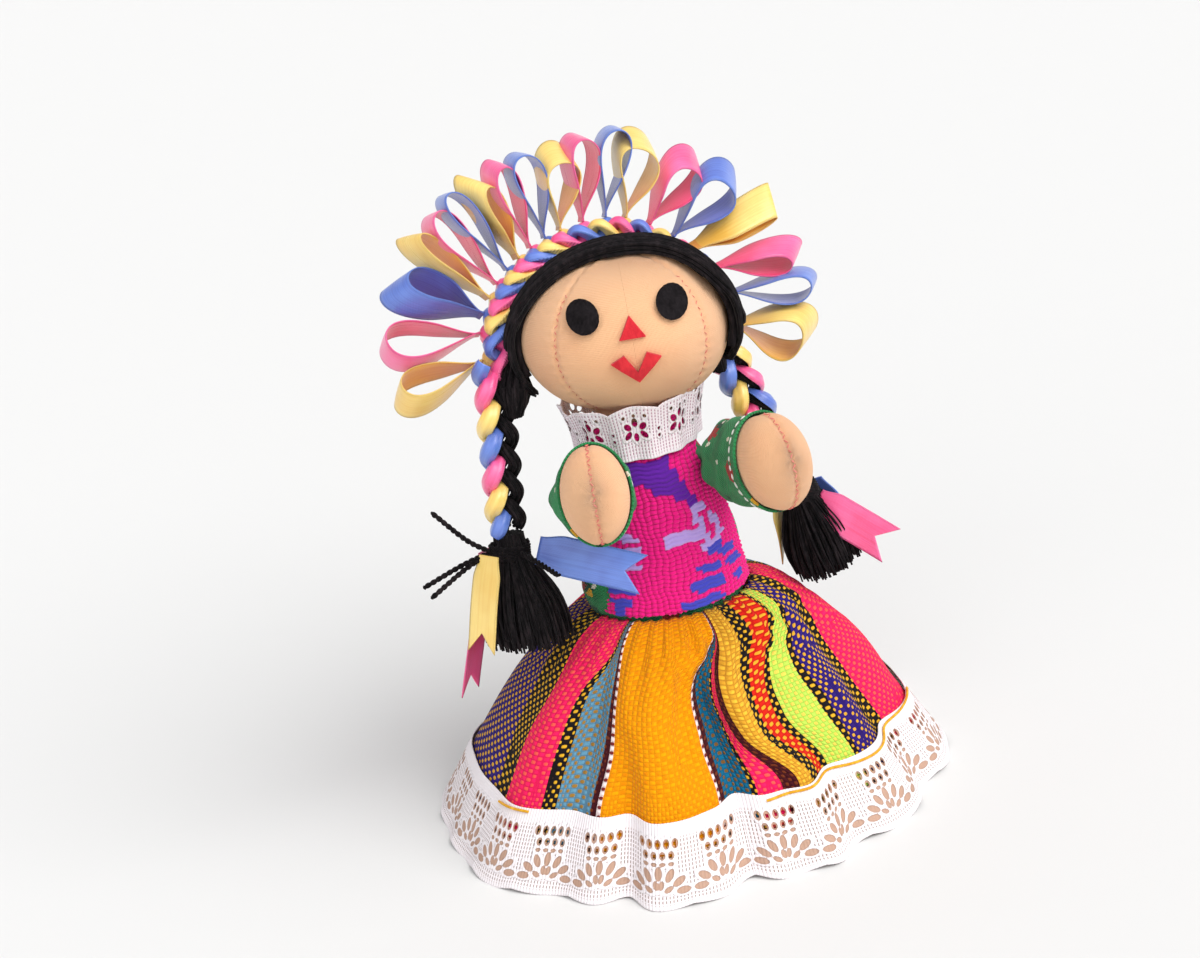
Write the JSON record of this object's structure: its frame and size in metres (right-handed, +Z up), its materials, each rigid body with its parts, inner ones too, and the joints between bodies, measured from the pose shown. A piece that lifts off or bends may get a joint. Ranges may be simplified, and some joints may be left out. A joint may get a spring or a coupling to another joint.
{
  "type": "otomi cloth doll",
  "caption": "Stuffed cloth doll with felt face, black yarn plaits, a plaited ribbon crown with standing loops, lace collar, woven bib and a gathered striped skirt with lace hem.",
  "frame": {"origin": "on the surface that the doll stands on, under the middle of the hem's box", "axes": "+Z up from the hem to the ribbon loops, -Y the way the face looks, +X to the doll's own left"},
  "size_m": [0.0926, 0.0904, 0.1207],
  "materials": {
    "skin_cloth": "matte knit",
    "stuffing": "loose fibre",
    "black_felt": "matte felt",
    "red_felt": "matte felt",
    "black_yarn": "matte yarn",
    "pink_ribbon": "satin",
    "yellow_ribbon": "satin",
    "blue_ribbon": "satin",
    "green_print": "printed cotton",
    "magenta_weave": "coarse weave",
    "striped_weave": "striped weave",
    "white_lace": "lace"
  },
  "bodies": {
    "trunk": {"body": "skin_cloth", "body_stuffing": "stuffing", "blouse": "green_print", "bib": "magenta_weave", "lace_collar": "white_lace", "skirt": "striped_weave", "lace_hem": "white_lace"},
    "neck_stump": {"neck": "skin_cloth"},
    "head_and_crown": {"head": "skin_cloth", "head_stuffing": "stuffing", "eye_left": "black_felt", "eye_right": "black_felt", "nose": "red_felt", "mouth": "red_felt", "hair_cap": "black_yarn", "crown_yellow": "yellow_ribbon", "crown_pink": "pink_ribbon", "crown_blue": "blue_ribbon", "ribbon_loop_01": "yellow_ribbon", "ribbon_loop_02": "pink_ribbon", "ribbon_loop_03": "blue_ribbon", "ribbon_loop_04": "yellow_ribbon", "ribbon_loop_05": "pink_ribbon", "ribbon_loop_06": "blue_ribbon", "ribbon_loop_07": "yellow_ribbon", "ribbon_loop_08": "pink_ribbon", "ribbon_loop_09": "blue_ribbon", "ribbon_loop_10": "yellow_ribbon", "ribbon_loop_11": "pink_ribbon", "ribbon_loop_12": "blue_ribbon", "ribbon_loop_13": "yellow_ribbon", "ribbon_loop_14": "pink_ribbon", "ribbon_loop_15": "blue_ribbon", "ribbon_loop_16": "yellow_ribbon", "ribbon_loop_17": "pink_ribbon", "ribbon_loop_18": "blue_ribbon", "ribbon_loop_19": "yellow_ribbon"},
    "left_arm": {"arm_left": "skin_cloth", "sleeve_left": "green_print"},
    "right_arm": {"arm_right": "skin_cloth", "sleeve_right": "green_print"},
    "left_plait": {"plait_left_1": "black_yarn", "plait_left_2": "black_yarn", "plait_left_3": "black_yarn"},
    "right_plait": {"plait_right_1": "black_yarn", "plait_right_2": "black_yarn", "plait_right_3": "black_yarn"},
    "left_tassel": {"tassel_left": "black_yarn", "tie_left": "black_yarn", "tail_left_yellow": "yellow_ribbon", "tail_left_pink": "pink_ribbon", "tail_left_blue": "blue_ribbon"},
    "right_tassel": {"tassel_right": "black_yarn", "tie_right": "black_yarn", "tail_right_yellow": "yellow_ribbon", "tail_right_pink": "pink_ribbon", "tail_right_blue": "blue_ribbon"},
    "left_leg": {"leg_left": "skin_cloth"},
    "right_leg": {"leg_right": "skin_cloth"}
  },
  "joints": [
    {"name": "head_turn", "type": "hinge", "parent": "trunk", "child": "neck_stump", "pos_m": [0.0025, 0.003, 0.075], "axis": [0, 0, 1], "range_deg": [-10, 10]},
    {"name": "head_nod", "type": "hinge", "parent": "neck_stump", "child": "head_and_crown", "pos_m": [0.0025, 0.003, 0.075], "axis": [0.9848, -0.1736, 0], "range_deg": [-6, 3]},
    {"name": "left_arm_swing", "type": "hinge", "parent": "trunk", "child": "left_arm", "pos_m": [0.01439, -0.00675, 0.062], "axis": [-0.9848, -0.1736, 0], "range_deg": [-8, 18]},
    {"name": "right_arm_swing", "type": "hinge", "parent": "trunk", "child": "right_arm", "pos_m": [-0.00939, -0.00675, 0.062], "axis": [-0.9781, 0.2079, 0], "range_deg": [-8, 18]},
    {"name": "left_plait_swing", "type": "hinge", "parent": "head_and_crown", "child": "left_plait", "pos_m": [0.0205, 0.01, 0.0762], "axis": [0, -1, 0], "range_deg": [0, 35]},
    {"name": "right_plait_swing", "type": "hinge", "parent": "head_and_crown", "child": "right_plait", "pos_m": [-0.0223, 0.0048, 0.0792], "axis": [0, 1, 0], "range_deg": [0, 35]},
    {"name": "left_tassel_swing", "type": "hinge", "parent": "left_plait", "child": "left_tassel", "pos_m": [0.02807, 0.0057, 0.05181], "axis": [0, -1, 0], "range_deg": [0, 20]},
    {"name": "right_tassel_swing", "type": "hinge", "parent": "right_plait", "child": "right_tassel", "pos_m": [-0.02546, 0.00034, 0.05388], "axis": [0, 1, 0], "range_deg": [0, 20]},
    {"name": "left_leg_swing", "type": "hinge", "parent": "trunk", "child": "left_leg", "pos_m": [0.009, 0.003, 0.0241], "axis": [-1, 0, 0], "range_deg": [-15, 25]},
    {"name": "right_leg_swing", "type": "hinge", "parent": "trunk", "child": "right_leg", "pos_m": [-0.004, 0.003, 0.0241], "axis": [-1, 0, 0], "range_deg": [-15, 25]}
  ]
}
